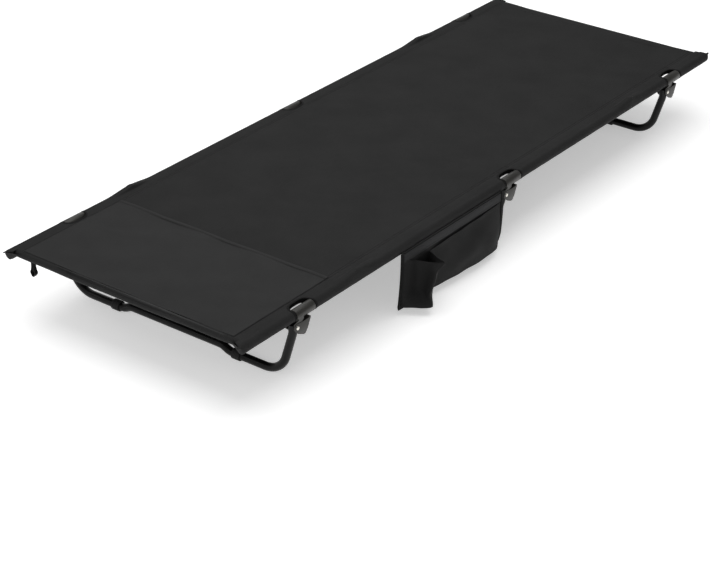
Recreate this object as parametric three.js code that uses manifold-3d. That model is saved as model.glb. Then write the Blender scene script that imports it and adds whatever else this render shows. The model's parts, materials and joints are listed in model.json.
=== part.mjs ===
// Folding cot: black cloth deck on a jointed tube frame with three folding U legs.
// Units mm. X runs along the bed (-X is the head end), Y across it (the organizer
// hangs on the -Y rail), Z is up and the feet stand on z = 0.
import * as THREE from 'three';
import Module from 'manifold-3d';

const wasm = await Module();
wasm.setup();

// ---------- driving dimensions ----------
const LENGTH = 1900;          // over the end caps
const RAIL_Y = 328;           // rail axis from the centre line
const RAIL_Z = 160;           // rail axis above the floor
const RAIL_R = 11, RAIL_IN = 9.8;
const SECTION = 380;          // five rail sections a side
const GAP = 0.3;              // clearance between neighbouring solids
const CAP_FLANGE = 3, CAP_PLUG = 9.5;
const SPIGOT_R = 9.4, SPIGOT_IN = 8.2, SPIGOT_LEN = 40;

const FOLD_X = 1.5 * SECTION; // fold lines at plus and minus this
const PIN_UP = 14.5;          // fold pin above the rail axis
const PIN_R = 1.5, PIN_HEAD = 2.6;
const LUG_R = 3.2, LUG_HALF = 2, LUG_T = 2.4, LUG_LEN = 18, LUG_EYE = 1.8;

const LEG_X = [-782, -9, 738];          // rivet axis of each leg
const LEG_NAMES = ['head', 'middle', 'foot'];
const PIVOT_Z = RAIL_Z - 24;
const LEG_R = 9.5, LEG_IN = 8.3;
const LEG_LEAN = 17 * Math.PI / 180;    // inward lean of the side tubes
const FOOT_R = 12.5, FOOT_W = 22, FOOT_Y = 175;
const BAR_RISE = 10, BEND_Y = 143;      // the bar is raised between its bends
const CORNER_R = 60, BEND_R = 30;

const NOTCH_AT = 31, NOTCH_LEN = 66, NOTCH_DEPTH = 20;    // sleeve opening, measured from the rivet
const SADDLE_IN = 11.3, SADDLE_OUT = 12.8, EAR_AT = 10.1, EAR_T = 2;
const STOP_HALF = 9.2, STOP_T = 2;      // the stop's half width and wall
const RIVET_R = 3, RIVET_HOLE = 3.3, RIVET_HEAD = 5.6;

const CLOTH_IN = 11.3, CLOTH_OUT = 12.3;
const END_BAR_X = 936, END_BAR_R = 7, PEG_R = 3.5, END_BAR_Z = RAIL_Z + 4;
const HEM_IN = 7.3, HEM_OUT = 8.3, HEM_Y = 300;
const DECK_END = 946;
const PILLOW_X = [-927, -625], PILLOW_Y = 298;
const LOOP_Y = 269, LOOP_W = 16, LOOP_H = 36;

const ORG_X = [-420, -32], ORG_Z = [18, 157], ORG_Y = -RAIL_Y - 12.9, ORG_T = 2.4;
const CUP = { x: [-404, -311], z: [20, 132], deep: 62, corner: 28 };
const WIDE = { x: [-310, -38], z: [22, 122], deep: 22, corner: 12 };
const POUCH_T = 2, RIVET_OUT = 15.8;

// ---------- helpers ----------
const cot = new THREE.Group();
cot.name = 'folding_cot';

const LOOK = {
  cloth: [0x2f2f2f, 0.92, 0], pillow: [0x343434, 0.85, 0], pouch: [0x36363a, 0.9, 0],
  paint: [0x262624, 0.3, 0.2], saddle: [0x3a3835, 0.3, 0.4], nickel: [0xd6d4ce, 0.2, 1],
  rubber: [0x1c1c1c, 0.8, 0], plastic: [0x222222, 0.5, 0], steel: [0x9a9894, 0.35, 1],
  webbing: [0x262626, 0.95, 0],
};

function add(name, geometry, look) {
  const [color, roughness, metalness] = LOOK[look];
  const material = new THREE.MeshStandardMaterial({ color, roughness, metalness });
  const mesh = new THREE.Mesh(geometry, material);
  mesh.name = name;
  cot.add(mesh);
}

// three.js geometry to a manifold solid and back
function solid(geometry) {
  const g = geometry.clone();
  g.deleteAttribute('normal');
  g.deleteAttribute('uv');
  const m = mergeByPosition(g);
  return new wasm.Manifold(
    new wasm.Mesh({ numProp: 3, vertProperties: m.positions, triVerts: m.triangles }));
}

function mergeByPosition(g) {
  const p = g.attributes.position, index = g.index;
  const ids = new Map(), positions = [], triangles = [];
  const count = index ? index.count : p.count;
  const corner = (i) => {
    const k = index ? index.getX(i) : i;
    const xyz = [p.getX(k), p.getY(k), p.getZ(k)];
    const key = xyz.map((v) => Math.round(v * 1e4)).join();
    if (!ids.has(key)) {
      ids.set(key, positions.length / 3);
      positions.push(...xyz);
    }
    return ids.get(key);
  };
  for (let i = 0; i < count; i += 3) {
    const [a, b, c] = [corner(i), corner(i + 1), corner(i + 2)];
    if (a !== b && b !== c && c !== a) triangles.push(a, b, c);
  }
  return { positions: new Float32Array(positions), triangles: new Uint32Array(triangles) };
}

function geometryOf(manifold) {
  const m = manifold.getMesh();
  const p = new Float32Array(m.numVert * 3);
  for (let i = 0; i < m.numVert; i++) {
    for (let k = 0; k < 3; k++) p[3 * i + k] = m.vertProperties[m.numProp * i + k];
  }
  const g = new THREE.BufferGeometry();
  g.setAttribute('position', new THREE.BufferAttribute(p, 3));
  g.setIndex(Array.from(m.triVerts));
  const flat = g.toNonIndexed();
  flat.computeVertexNormals();
  return flat;
}

const union = (...list) => list.reduce((a, b) => a.add(b));

// closed profile [[radius, along], ...] turned about an axis through the point at; the
// profile's own axis is Y
function turned(profile, sides, axis, at) {
  const points = [...profile, profile[0]].map(([r, a]) => new THREE.Vector2(r, a));
  const g = new THREE.LatheGeometry(points, sides);
  if (axis === 'x') g.rotateZ(-Math.PI / 2);
  if (axis === 'z') g.rotateX(Math.PI / 2);
  g.translate(...at);
  return outward(g);
}

// flips the triangles of a closed geometry when it faces inward
function outward(g) {
  const m = g.index ? g.toNonIndexed() : g;
  const p = m.attributes.position;
  const [a, b, c] = [new THREE.Vector3(), new THREE.Vector3(), new THREE.Vector3()];
  let volume = 0;
  for (let i = 0; i < p.count; i += 3) {
    a.fromBufferAttribute(p, i);
    b.fromBufferAttribute(p, i + 1);
    c.fromBufferAttribute(p, i + 2);
    volume += a.dot(b.cross(c));
  }
  if (volume < 0) {
    for (let i = 0; i < p.count; i += 3) {
      a.fromBufferAttribute(p, i + 1);
      b.fromBufferAttribute(p, i + 2);
      p.setXYZ(i + 1, b.x, b.y, b.z);
      p.setXYZ(i + 2, a.x, a.y, a.z);
    }
  }
  m.computeVertexNormals();
  return m;
}

// tube or rod along an axis from a to b
function rod(axis, r, from, to, at, sides = 24, inner = 0) {
  if (inner) return turned([[inner, from], [r, from], [r, to], [inner, to]], sides, axis, at);
  const g = new THREE.CylinderGeometry(r, r, to - from, sides);
  g.translate(0, (from + to) / 2, 0);
  if (axis === 'x') g.rotateZ(-Math.PI / 2);
  if (axis === 'z') g.rotateX(Math.PI / 2);
  g.translate(...at);
  return outward(g);
}

function block(x0, x1, y0, y1, z0, z1) {
  const g = new THREE.BoxGeometry(x1 - x0, y1 - y0, z1 - z0);
  g.translate((x0 + x1) / 2, (y0 + y1) / 2, (z0 + z1) / 2);
  return g;
}

// outline in (u, v) extruded by depth; plane 'xz' gives y, 'yz' gives x, 'xy' gives z
function plate(outline, holes, plane, from, to) {
  const shape = new THREE.Shape(outline.map(([u, v]) => new THREE.Vector2(u, v)));
  for (const h of holes) shape.holes.push(new THREE.Path(h.map(([u, v]) => new THREE.Vector2(u, v))));
  const g = new THREE.ExtrudeGeometry(shape, { depth: to - from, bevelEnabled: false, steps: 1 });
  const m = new THREE.Matrix4();
  if (plane === 'xz') m.set(1, 0, 0, 0, 0, 0, 1, from, 0, 1, 0, 0, 0, 0, 0, 1);
  if (plane === 'yz') m.set(0, 0, 1, from, 1, 0, 0, 0, 0, 1, 0, 0, 0, 0, 0, 1);
  if (plane === 'xy') m.set(1, 0, 0, 0, 0, 1, 0, 0, 0, 0, 1, from, 0, 0, 0, 1);
  g.applyMatrix4(m);
  return outward(g);
}

// points on an arc, angles in degrees
function arc(cx, cy, r, a0, a1, n) {
  return Array.from({ length: n + 1 }, (_, i) => {
    const a = (a0 + (a1 - a0) * i / n) * Math.PI / 180;
    return [cx + r * Math.cos(a), cy + r * Math.sin(a)];
  });
}

const circle = (cx, cy, r, n) => arc(cx, cy, r, 0, 360 - 360 / n, n - 1);

// ---------- rails, fold lugs and end caps ----------
// fold lug on the rail end at x = end; dir points from the rail body to its end
function lug(end, dir, y0, y1) {
  const foot = 9.3;           // sunk into the rail's wall
  const outline = [[-LUG_LEN, foot], [-0.2, foot], [-0.2, PIN_UP - LUG_R],
    ...arc(0, PIN_UP, LUG_R, -88, 90, 4), [-4, PIN_UP + LUG_R], [-LUG_LEN, foot + 1.5]];
  const pts = outline.map(([u, v]) => [end + dir * u, RAIL_Z + v]);
  const eye = circle(end, RAIL_Z + PIN_UP, LUG_EYE, 8);
  return plate(pts, [eye], 'xz', y0, y1);
}

function railSection(index, side) {
  const y = side * RAIL_Y;
  const x0 = -LENGTH / 2 + index * SECTION, x1 = x0 + SECTION;
  const at = [0, y, RAIL_Z];
  let body;
  if (index === 2) {        // the centre section is swaged down at both ends
    const e = SECTION / 2 - GAP;
    body = solid(turned([
      [SPIGOT_IN, -e - SPIGOT_LEN], [SPIGOT_R, -e - SPIGOT_LEN], [SPIGOT_R, -e - 0.1],
      [RAIL_R, -e], [RAIL_R, e], [SPIGOT_R, e + 0.1], [SPIGOT_R, e + SPIGOT_LEN],
      [SPIGOT_IN, e + SPIGOT_LEN], [SPIGOT_IN, e - 1], [RAIL_IN, e - 6],
      [RAIL_IN, -e + 6], [SPIGOT_IN, -e + 1]], 16, 'x', at));
  } else {
    const a = x0 + (index === 0 ? CAP_FLANGE + GAP : 0.2);
    const b = x1 - (index === 4 ? CAP_FLANGE + GAP : 0.2);
    body = solid(rod('x', RAIL_R, a, b, at, 16, RAIL_IN));
  }
  const outerLugs = (end, dir) => [-1, 1].map((s) => {
    const [p, q] = [y + s * (LUG_HALF + GAP), y + s * (LUG_HALF + GAP + LUG_T)];
    return solid(lug(end, dir, Math.min(p, q), Math.max(p, q)));
  });
  if (index === 0) body = union(body, ...outerLugs(-FOLD_X, 1));
  if (index === 4) body = union(body, ...outerLugs(FOLD_X, -1));
  if (index === 1) body = body.add(solid(lug(-FOLD_X, -1, y - LUG_HALF, y + LUG_HALF)));
  if (index === 3) body = body.add(solid(lug(FOLD_X, 1, y - LUG_HALF, y + LUG_HALF)));
  if (index === 0 || index === 4) {      // hole in the inner wall for the end bar's peg
    const x = index === 0 ? -END_BAR_X : END_BAR_X;
    const peg = side > 0 ? [y - 14, y - 2] : [y + 2, y + 14];
    body = body.subtract(solid(rod('y', PEG_R + 0.5, ...peg, [x, 0, END_BAR_Z], 10)));
  }
  return geometryOf(body);
}

const SIDES = [[-1, 'near'], [1, 'far']];
for (const [side, tag] of SIDES) {
  for (let i = 0; i < 5; i++) add(`rail_${tag}_${i + 1}`, railSection(i, side), 'paint');
  for (const [end, name] of [[-1, 'head'], [1, 'foot']]) {
    const e = end * LENGTH / 2, y = side * RAIL_Y;
    const plug = RAIL_IN - GAP, inner = e - end * CAP_FLANGE;
    const cap = [[0, e], [RAIL_R - 0.8, e], [RAIL_R, e - end * 0.8], [RAIL_R, inner],
      [plug, inner], [plug, e - end * CAP_PLUG], [0, e - end * CAP_PLUG]];
    const g = new THREE.LatheGeometry(cap.map(([r, a]) => new THREE.Vector2(r, a)), 14);
    g.rotateZ(-Math.PI / 2);
    g.translate(0, y, RAIL_Z);
    add(`end_cap_${name}_${tag}`, geometryOf(solid(outward(g))), 'plastic');

    const at = [end * FOLD_X, 0, RAIL_Z + PIN_UP], w = LUG_HALF + GAP + LUG_T;
    const pin = union(
      solid(rod('y', PIN_R, y - w - 1, y + w + 1, at, 10)),
      solid(rod('y', PIN_HEAD, y - w - 1.2, y - w - 0.2, at, 10)),
      solid(rod('y', PIN_HEAD, y + w + 0.2, y + w + 1.2, at, 10)));
    add(`fold_pin_${name}_${tag}`, geometryOf(pin), 'steel');
  }
}

// end bars: a rod across each end with a peg into each rail
for (const [end, name] of [[-1, 'head'], [1, 'foot']]) {
  const x = end * END_BAR_X, at = [x, 0, END_BAR_Z];
  const half = RAIL_Y - RAIL_R + 1;
  let bar = solid(rod('y', END_BAR_R, -half, half, at, 12));
  for (const [side] of SIDES) {      // coped to sit against the rails
    const seat = rod('x', RAIL_R + GAP + 0.1, x - 20, x + 20, [0, side * RAIL_Y, RAIL_Z], 24);
    bar = bar.subtract(solid(seat));
  }
  const pegs = solid(rod('y', PEG_R, 3 - RAIL_Y, RAIL_Y - 3, at, 10));
  add(`end_bar_${name}`, geometryOf(bar.add(pegs)), 'paint');
}

// ---------- legs ----------
// A path made of its own stations, so straight runs cost no extra rings.
class StationPath extends THREE.Curve {
  constructor(stations) { super(); this.stations = stations; }
  getPoint(t, out = new THREE.Vector3()) {
    return out.copy(this.stations[Math.round(t * (this.stations.length - 1))].p);
  }
  getPointAt(t, out) { return this.getPoint(t, out); }
  getTangentAt(t, out = new THREE.Vector3()) {
    return out.copy(this.stations[Math.round(t * (this.stations.length - 1))].d);
  }
}

// corners [[y, z, bendRadius, steps], ...] to stations in the plane x = const
function stationsOf(x, corners) {
  const pts = corners.map(([y, z]) => new THREE.Vector3(x, y, z));
  const list = [];
  const dir = (i) => pts[i + 1].clone().sub(pts[i]).normalize();
  list.push({ p: pts[0], d: dir(0) });
  for (let i = 1; i < pts.length - 1; i++) {
    const [a, b] = [dir(i - 1), dir(i)];
    const turn = a.angleTo(b), r = corners[i][2], n = corners[i][3];
    const back = r * Math.tan(turn / 2);
    const start = pts[i].clone().addScaledVector(a, -back);
    const normal = b.clone().addScaledVector(a, -a.dot(b)).normalize();
    for (let k = 0; k <= n; k++) {
      const t = turn * k / n;
      const [ahead, aside] = [r * Math.sin(t), r * (1 - Math.cos(t))];
      const p = start.clone().addScaledVector(a, ahead).addScaledVector(normal, aside);
      const d = a.clone().multiplyScalar(Math.cos(t)).addScaledVector(normal, Math.sin(t));
      list.push({ p, d });
    }
  }
  list.push({ p: pts[pts.length - 1], d: dir(pts.length - 2) });
  return list;
}

function legTube(x) {
  const barZ = FOOT_R, topZ = PIVOT_Z + 5, bendZ = PIVOT_Z - 16;
  const cornerY = RAIL_Y - (bendZ - barZ) * Math.tan(LEG_LEAN);
  const half = [[RAIL_Y, topZ, 0, 0], [RAIL_Y, bendZ, BEND_R, 1], [cornerY, barZ, CORNER_R, 4],
    [BEND_Y + 11, barZ, BEND_R, 1], [BEND_Y - 11, barZ + BAR_RISE, BEND_R, 1]];
  const corners = [...half, ...half.slice().reverse().map(([y, z, r, n]) => [-y, z, r, n])];
  const stations = stationsOf(x, corners);
  const path = new StationPath(stations);
  const shape = new THREE.Shape(circle(0, 0, LEG_R, 12).map(([u, v]) => new THREE.Vector2(u, v)));
  shape.holes.push(new THREE.Path(circle(0, 0, LEG_IN, 6).map(([u, v]) => new THREE.Vector2(u, v))));
  const g = new THREE.ExtrudeGeometry(shape,
    { steps: stations.length - 1, extrudePath: path, bevelEnabled: false });
  let tube = solid(outward(g));
  for (const [side] of SIDES) {
    const y = side * RAIL_Y;
    tube = tube.subtract(solid(rod('y', RIVET_HOLE, y - 14, y + 14, [x, 0, PIVOT_Z], 12)));
  }
  return geometryOf(tube);
}

// channel-shaped stop on the leg's foot-end side; its raised tip meets the saddle
function legStop(x, side) {
  const y = side * RAIL_Y;
  const tip = RAIL_Z - PIVOT_Z - SADDLE_OUT - 0.35;      // just clear of the saddle
  const outline = [[8, 8], [38, 8], [40, tip], [43.5, tip], [44, 6], [33, -8], [27.5, -26],
    ...arc(23.5, -26, 4, 0, -90, 4), [8, -30]].map(([u, v]) => [x + u, PIVOT_Z + v]);
  const body = solid(plate(outline, [], 'xz', y - STOP_HALF, y + STOP_HALF));
  const inside = STOP_HALF - STOP_T;
  const hollow = solid(block(x, x + 60, y - inside, y + inside, PIVOT_Z - 40, PIVOT_Z + 6));
  const cope = solid(rod('z', LEG_R + GAP, PIVOT_Z - 50, PIVOT_Z + 30, [x, y, 0], 16));
  const lean = new THREE.CylinderGeometry(LEG_R + GAP, LEG_R + GAP, 90, 16);
  lean.rotateX(Math.PI / 2);
  lean.translate(0, 0, -45);
  lean.rotateX(-side * LEG_LEAN);
  lean.translate(x, y, PIVOT_Z - 16);
  return geometryOf(body.subtract(hollow).subtract(cope).subtract(solid(outward(lean))));
}

// saddle: sleeve round the rail and two ears that carry the rivet
function saddle(x, side) {
  const y = side * RAIL_Y;
  const from = x + NOTCH_AT - NOTCH_LEN / 2 + 3, to = from + NOTCH_LEN - 6;
  let body = solid(rod('x', SADDLE_OUT, from, to, [0, y, RAIL_Z], 16, SADDLE_IN));
  const ear = [[-9, -24], [-8, -13], [5.2, -8.5], [5.2, -1], [22, -1], [22, -10], [9, -22],
    ...arc(0, -24, 9, 15, -170, 5)];
  const place = ear.map(([u, v]) => [x + u, RAIL_Z + v]);
  for (const s of [-1, 1]) {
    const [p, q] = [y + s * EAR_AT, y + s * (EAR_AT + EAR_T)];
    body = body.add(solid(plate(place, [], 'xz', Math.min(p, q), Math.max(p, q))));
  }
  body = body.subtract(solid(rod('x', SADDLE_IN, from - 30, to + 9, [0, y, RAIL_Z], 16)));
  body = body.subtract(solid(rod('y', RIVET_HOLE, y - 20, y + 20, [x, 0, PIVOT_Z], 12)));
  return geometryOf(body);
}

function rivet(x, side) {
  const y = side * RAIL_Y;
  const profile = [[0, -RIVET_OUT], [3.4, -15.1], [RIVET_HEAD, -12.5], [RIVET_R, -12.4],
    [RIVET_R, 12.4], [RIVET_HEAD, 12.5], [3.4, 15.1], [0, RIVET_OUT]];
  const g = new THREE.LatheGeometry(profile.map(([r, a]) => new THREE.Vector2(r, a)), 10);
  g.translate(x, y, PIVOT_Z);
  return geometryOf(solid(outward(g)));
}

// rubber ring with a flat facet on the floor
function footRing(x, side) {
  const sides = 16, half = 180 / sides;
  const outer = FOOT_R / Math.cos(half * Math.PI / 180);
  const [rim, bore] = [outer, LEG_R + GAP + 0.2].map(
    (r) => arc(x, FOOT_R, r, half, 360 - half, sides - 1));
  const y = side * FOOT_Y;
  return plate(rim, [bore], 'xz', y - FOOT_W / 2, y + FOOT_W / 2);
}

LEG_X.forEach((x, i) => {
  const name = LEG_NAMES[i];
  add(`leg_tube_${name}`, legTube(x), 'paint');
  for (const [side, tag] of SIDES) {
    add(`saddle_${name}_${tag}`, saddle(x, side), 'saddle');
    add(`leg_rivet_${name}_${tag}`, rivet(x, side), 'nickel');
    add(`leg_stop_${name}_${tag}`, legStop(x, side), 'paint');
    add(`foot_ring_${name}_${tag}`, footRing(x, side), 'rubber');
  }
});

// ---------- cloth ----------
// deck cloth with a sleeve round each rail, between x0 and x1
function deck(x0, x1, notches, hemEnd) {
  const [r, z] = [CLOTH_OUT, RAIL_Z];
  const drop = Math.asin(CLOTH_IN / CLOTH_OUT);   // where the slab meets the sleeve
  const meet = RAIL_Y - r * Math.cos(drop), degrees = drop * 180 / Math.PI;
  const outline = [
    ...arc(RAIL_Y, z, r, 90, -180 - degrees, 13).slice(0, -1),
    [meet, z + CLOTH_IN],
    [-meet, z + CLOTH_IN],
    ...arc(-RAIL_Y, z, r, degrees, -270, 13).slice(1)];
  const holes = [circle(RAIL_Y, z, CLOTH_IN + 0.1, 14), circle(-RAIL_Y, z, CLOTH_IN + 0.1, 14)];
  let body = solid(plate(outline, holes, 'yz', x0, x1));
  for (const [side] of SIDES) {
    const y = side * RAIL_Y;
    for (const x of notches) {
      // half-oval opening over the saddle, deepest at its middle
      const cx = x + NOTCH_AT, half = NOTCH_LEN / 2;
      const oval = arc(0, 0, 1, 0, 180, 8).map(
        ([u, v]) => [cx + half * u, y - side * NOTCH_DEPTH * v]);
      const pts = [...oval, [cx - half, y + side * 14], [cx + half, y + side * 14]];
      body = body.subtract(solid(plate(pts, [], 'xy', z, z + 20)));
      body = body.subtract(solid(rod('x', SADDLE_OUT + 0.5, cx - half, cx + half, [0, y, z], 20)));
    }
    for (const end of [-FOLD_X, FOLD_X]) {
      // slot for the fold lugs
      body = body.subtract(solid(block(end - 24, end + 24, y - 7.5, y + 7.5, z + 5, z + 20)));
    }
  }
  if (hemEnd) {
    const at = [hemEnd * END_BAR_X, 0, END_BAR_Z];
    const hem = solid(rod('y', HEM_OUT, -HEM_Y, HEM_Y, at, 14));
    const bore = solid(rod('y', HEM_IN, 12 - RAIL_Y, RAIL_Y - 12, at, 14));
    body = body.add(hem).subtract(bore);
    for (const [side] of SIDES) {      // the bar passes through the sleeve's inner side
      const y = side * (RAIL_Y - 9);
      body = body.subtract(solid(rod('y', HEM_IN, y - 4, y + 4, at, 20)));
    }
  }
  return geometryOf(body);
}
const edge = FOLD_X - 0.2;     // a narrow slit between the cloths at the fold lines
add('deck_cloth_head', deck(-DECK_END, -edge - 0.4, [LEG_X[0]], -1), 'cloth');
add('deck_cloth_middle', deck(-edge, edge, [LEG_X[1]], 0), 'cloth');
add('deck_cloth_foot', deck(edge + 0.4, DECK_END, [LEG_X[2]], 1), 'cloth');

const pillowZ = RAIL_Z + CLOTH_OUT + GAP;
add('pillow_pocket', block(...PILLOW_X, -PILLOW_Y, PILLOW_Y, pillowZ, pillowZ + 1), 'pillow');

// loop of webbing under the head hem
{
  const [half, tall] = [LOOP_W / 2, LOOP_H / 2];
  const z = END_BAR_Z - HEM_OUT - GAP - tall;
  const ring = (ry, rz) => circle(0, 0, 1, 12).map(([u, v]) => [LOOP_Y + ry * u, z + rz * v]);
  const outline = ring(half, tall), hole = ring(half - 2, tall - 2);
  const g = plate(outline, [hole], 'yz', -END_BAR_X - 6, -END_BAR_X + 6);
  add('webbing_loop', g, 'webbing');
}

// ---------- organizer on the near rail ----------
{
  const [x0, x1] = ORG_X, [z0, z1] = ORG_Z, r = 14;
  const back = [[x0, z1], [x0, z0 + 4], [x0 + 4, z0], [x1 - r, z0],
    ...arc(x1 - r, z0 + r, r, -75, 0, 4), [x1, z1]];
  add('organizer_panel', plate(back, [], 'xz', ORG_Y - ORG_T, ORG_Y), 'pouch');
  const front = ORG_Y - ORG_T - GAP;
  // the pouch's outline in plan, set in by t
  const tub = ({ x: [a, b], deep, corner: c }, t) => {
    const y = front - deep + c;
    return [[a + t, front - t], ...arc(a + c, y, c - t, 180, 270, 4),
      ...arc(b - c, y, c - t, 270, 360, 4), [b - t, front - t]];
  };
  // open at the top, with a floor and walls
  const pouch = (shape) => {
    const [low, top] = shape.z;
    const body = solid(plate(tub(shape, 0), [], 'xy', low, top));
    const inside = solid(plate(tub(shape, POUCH_T), [], 'xy', low + POUCH_T, top + 5));
    return geometryOf(body.subtract(inside));
  };
  add('organizer_cup_pocket', pouch(CUP), 'pouch');
  add('organizer_wide_pocket', pouch(WIDE), 'pouch');
}

// the origin is the middle of the footprint, and the cup pocket stands out on one side only
const front = -ORG_Y + ORG_T + GAP + CUP.deep;
cot.position.y = (front - RAIL_Y - RIVET_OUT) / 2;

export default cot;
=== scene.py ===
# %% [markdown]
# # A folding cot
# A folding cot is a cloth deck stretched between two side rails. Short U-shaped legs
# fold out under it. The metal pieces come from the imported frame, and this script adds
# what makes them look real: the sewn cloth, the bent tubes, rubber, rivets and stitches.
# Every size below is read from the frame or is a maker's size in millimetres.

# %% Load the frame
import json
import math

import bmesh
import bpy
import numpy as np
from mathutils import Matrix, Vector


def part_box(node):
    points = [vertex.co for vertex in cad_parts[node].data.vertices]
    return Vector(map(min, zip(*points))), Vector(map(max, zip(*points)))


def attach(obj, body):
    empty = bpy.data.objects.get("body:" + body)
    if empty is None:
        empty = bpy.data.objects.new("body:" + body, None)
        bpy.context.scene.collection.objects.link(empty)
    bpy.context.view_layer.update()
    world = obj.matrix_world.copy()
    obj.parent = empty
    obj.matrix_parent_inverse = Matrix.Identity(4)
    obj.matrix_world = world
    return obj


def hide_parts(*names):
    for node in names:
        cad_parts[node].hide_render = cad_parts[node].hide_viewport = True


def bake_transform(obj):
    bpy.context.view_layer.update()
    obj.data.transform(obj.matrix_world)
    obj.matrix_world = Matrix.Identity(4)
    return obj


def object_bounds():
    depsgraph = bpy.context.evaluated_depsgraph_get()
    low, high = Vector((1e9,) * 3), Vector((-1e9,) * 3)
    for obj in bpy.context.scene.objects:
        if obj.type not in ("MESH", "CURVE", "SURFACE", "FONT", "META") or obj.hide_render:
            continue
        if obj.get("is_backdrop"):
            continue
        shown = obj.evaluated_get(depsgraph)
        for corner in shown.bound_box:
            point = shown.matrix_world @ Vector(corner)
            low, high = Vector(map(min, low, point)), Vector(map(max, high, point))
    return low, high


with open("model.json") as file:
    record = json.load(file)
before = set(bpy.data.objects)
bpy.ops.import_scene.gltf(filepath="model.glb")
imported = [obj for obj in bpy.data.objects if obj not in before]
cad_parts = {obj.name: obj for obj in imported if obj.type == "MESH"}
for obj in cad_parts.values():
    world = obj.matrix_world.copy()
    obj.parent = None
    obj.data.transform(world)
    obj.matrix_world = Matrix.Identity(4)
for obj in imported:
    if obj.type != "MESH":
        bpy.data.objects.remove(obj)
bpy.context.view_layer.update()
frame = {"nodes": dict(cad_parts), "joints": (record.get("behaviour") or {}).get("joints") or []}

MM = 0.001

# %% [markdown]
# ## Where things are
# The rails tell where everything else goes. Their boxes give the two rail axes, and the
# joints in the record give the rivets and the fold lines.

# %% Main places, in metres
def middle(node):
    low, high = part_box(node)
    return (low + high) / 2


RAIL_Z = middle("rail_near_3").z
NEAR_Y = middle("rail_near_3").y
FAR_Y = middle("rail_far_3").y
MID_Y = (NEAR_Y + FAR_Y) / 2
HALF_Y = (FAR_Y - NEAR_Y) / 2
PIVOTS = {j["name"]: Vector(j["pos_m"]) for j in frame["joints"] if "pos_m" in j}
LEGS = {name: PIVOTS[name + "_leg_fold"] for name in ("head", "middle", "foot")}
FRAME_OF = {"head": "head_frame", "middle": "middle_frame", "foot": "foot_frame"}
SIDES = {"near": -1, "far": 1}
FOLD_X = PIVOTS["foot_fold"].x
END_X = middle("end_bar_foot").x
print("rails at y", round(NEAR_Y, 4), round(FAR_Y, 4), "z", round(RAIL_Z, 4))

# %% [markdown]
# ## Helpers
# A handful of small helpers keep the rest readable. One turns a grid of points into a
# mesh, one sweeps a section along a path, and one turns a profile about an axis.

# %% Mesh helpers
def piece(name, verts, faces, material, smooth=True, sharp=35):
    mesh = bpy.data.meshes.new(name)
    mesh.from_pydata([tuple(v) for v in verts], [], faces)
    mesh.validate()
    obj = bpy.data.objects.new(name, mesh)
    bpy.context.scene.collection.objects.link(obj)
    if material:
        mesh.materials.append(material)
    tidy(obj, smooth, sharp)
    return obj


def tidy(obj, smooth=True, sharp=35):
    """Outward normals, and smooth shading with sharp edges kept."""
    bm = bmesh.new()
    bm.from_mesh(obj.data)
    bmesh.ops.remove_doubles(bm, verts=bm.verts, dist=2e-6)
    bmesh.ops.recalc_face_normals(bm, faces=bm.faces)
    bm.to_mesh(obj.data)
    bm.free()
    if smooth:
        obj.data.shade_smooth()
        obj.data.set_sharp_from_angle(angle=math.radians(sharp))


def grid_faces(rows, columns, offset=0, wrap=False):
    faces = []
    for i in range(rows - 1):
        for j in range(columns if wrap else columns - 1):
            k = (j + 1) % columns
            a, b = offset + i * columns + j, offset + i * columns + k
            faces.append((a, b, b + columns, a + columns))
    return faces


def turned(name, profile, at, axis, material, sides=40):
    """A closed profile [(radius, along), ...] in mm, turned about an axis through at."""
    profile = [(r * MM, a * MM) for r, a in profile]
    turn = np.linspace(0, 2 * math.pi, sides, endpoint=False)
    verts = []
    for r, a in profile:
        for t in turn:
            u, v = r * math.cos(t), r * math.sin(t)
            offset = {"x": (a, u, v), "y": (u, a, v), "z": (u, v, a)}[axis]
            verts.append(Vector(at) + Vector(offset))
    n = len(profile)
    faces = grid_faces(n, sides, wrap=True)
    faces += [((n - 1) * sides + j, (n - 1) * sides + (j + 1) % sides, (j + 1) % sides, j)
              for j in range(sides)]
    return piece(name, verts, faces, material)


def sweep(name, path, section, material, up=(1.0, 0, 0), closed=False, caps=True):
    """Sweeps a section [(sideways, up), ...] in metres along a path of points."""
    path = np.array(path, float)
    ahead = np.roll(path, -1, 0) - path if closed else np.gradient(path, axis=0)
    behind = path - np.roll(path, 1, 0)
    along = ahead + behind if closed else ahead
    along /= np.linalg.norm(along, axis=1)[:, None]
    up = np.array(up, float)
    if up.ndim == 1:
        up = np.tile(up, (len(path), 1))
    side = np.cross(up, along)
    side /= np.linalg.norm(side, axis=1)[:, None]
    up = np.cross(along, side)
    section = np.array(section, float)
    verts = (path[:, None, :] + section[None, :, 0, None] * side[:, None, :]
             + section[None, :, 1, None] * up[:, None, :]).reshape(-1, 3)
    n, m = len(path), len(section)
    faces = grid_faces(n, m, wrap=True)
    if closed:
        faces += [((n - 1) * m + j, (n - 1) * m + (j + 1) % m, (j + 1) % m, j)
                  for j in range(m)]
    elif caps:
        faces += [tuple(range(m)), tuple((n - 1) * m + j for j in reversed(range(m)))]
    return piece(name, verts, faces, material)


def ring(radius, sides):
    turn = np.linspace(0, 2 * math.pi, sides, endpoint=False)
    return [(radius * math.cos(t), radius * math.sin(t)) for t in turn]


def with_modifiers(obj):
    """The same object with its modifiers made real."""
    graph = bpy.context.evaluated_depsgraph_get()
    mesh = bpy.data.meshes.new_from_object(obj.evaluated_get(graph))
    old = obj.data
    obj.modifiers.clear()
    obj.data = mesh
    mesh.name = obj.name
    bpy.data.meshes.remove(old)
    return obj


# %% [markdown]
# ## Materials
# Each material is named for the real one. Colours are hex values as a maker would quote
# them, and `linear` turns them into what Blender calculates with. `node` adds any shader
# node with its settings and links, so a material reads as a list of nodes.

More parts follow.
